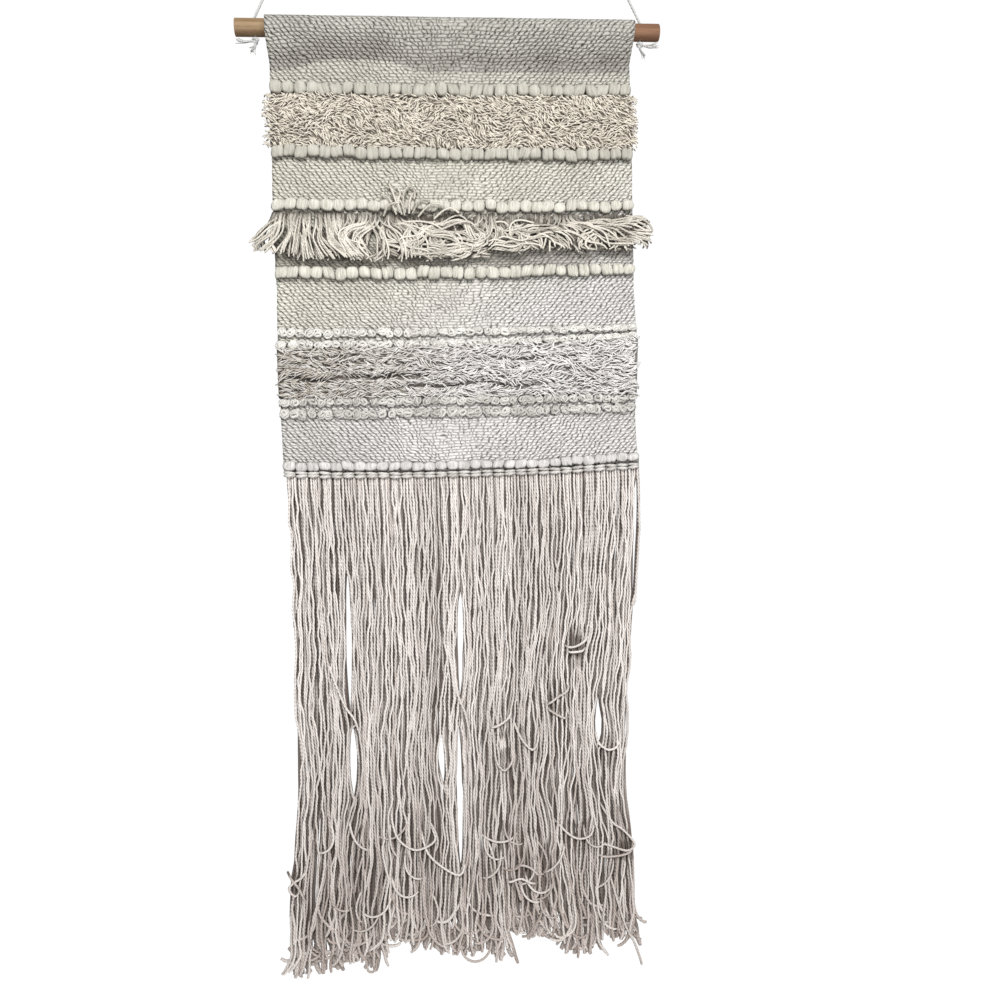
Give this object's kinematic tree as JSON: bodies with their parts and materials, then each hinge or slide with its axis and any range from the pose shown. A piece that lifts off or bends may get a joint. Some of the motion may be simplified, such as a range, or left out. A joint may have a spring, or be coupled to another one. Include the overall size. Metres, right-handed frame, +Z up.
{
  "type": "woven wall hanging on a wooden rod",
  "caption": "Long woven wall hanging on a round wooden rod, with rows of puffy beads and small loops, bands of shag pile, a row of short tassels and a long loose yarn fringe.",
  "frame": {"origin": "the middle of the wooden rod's axis", "axes": "+X along the rod, to the right as seen from the front; +Y towards the wall behind, so the front faces -Y; +Z up"},
  "size_m": [0.468, 0.0325, 1.1628],
  "materials": {
    "wood": "smooth, light wax",
    "weave": "coarse flat weave of ecru cotton",
    "roving": "soft unspun cream roving",
    "pile": "looped ecru yarn",
    "yarn": "loose plied cotton yarn",
    "cord": "plain cotton cord"
  },
  "bodies": {
    "root": {"wooden_rod": "wood", "woven_panel": "weave", "bobble_row_1": "roving", "bobble_row_2": "roving", "bobble_row_3": "roving", "bobble_row_4": "roving", "bobble_row_5": "roving", "loop_row_1": "pile", "loop_row_2": "pile", "loop_row_3": "pile", "loop_row_4": "pile", "pile_band_1": "pile", "pile_band_2": "pile", "tassel_row": "yarn", "long_fringe": "yarn", "cord_leg_left": "cord", "cord_leg_right": "cord", "stop_knot_left": "cord", "stop_knot_right": "cord", "end_loop_left": "cord", "end_loop_right": "cord"}
  },
  "joints": []
}
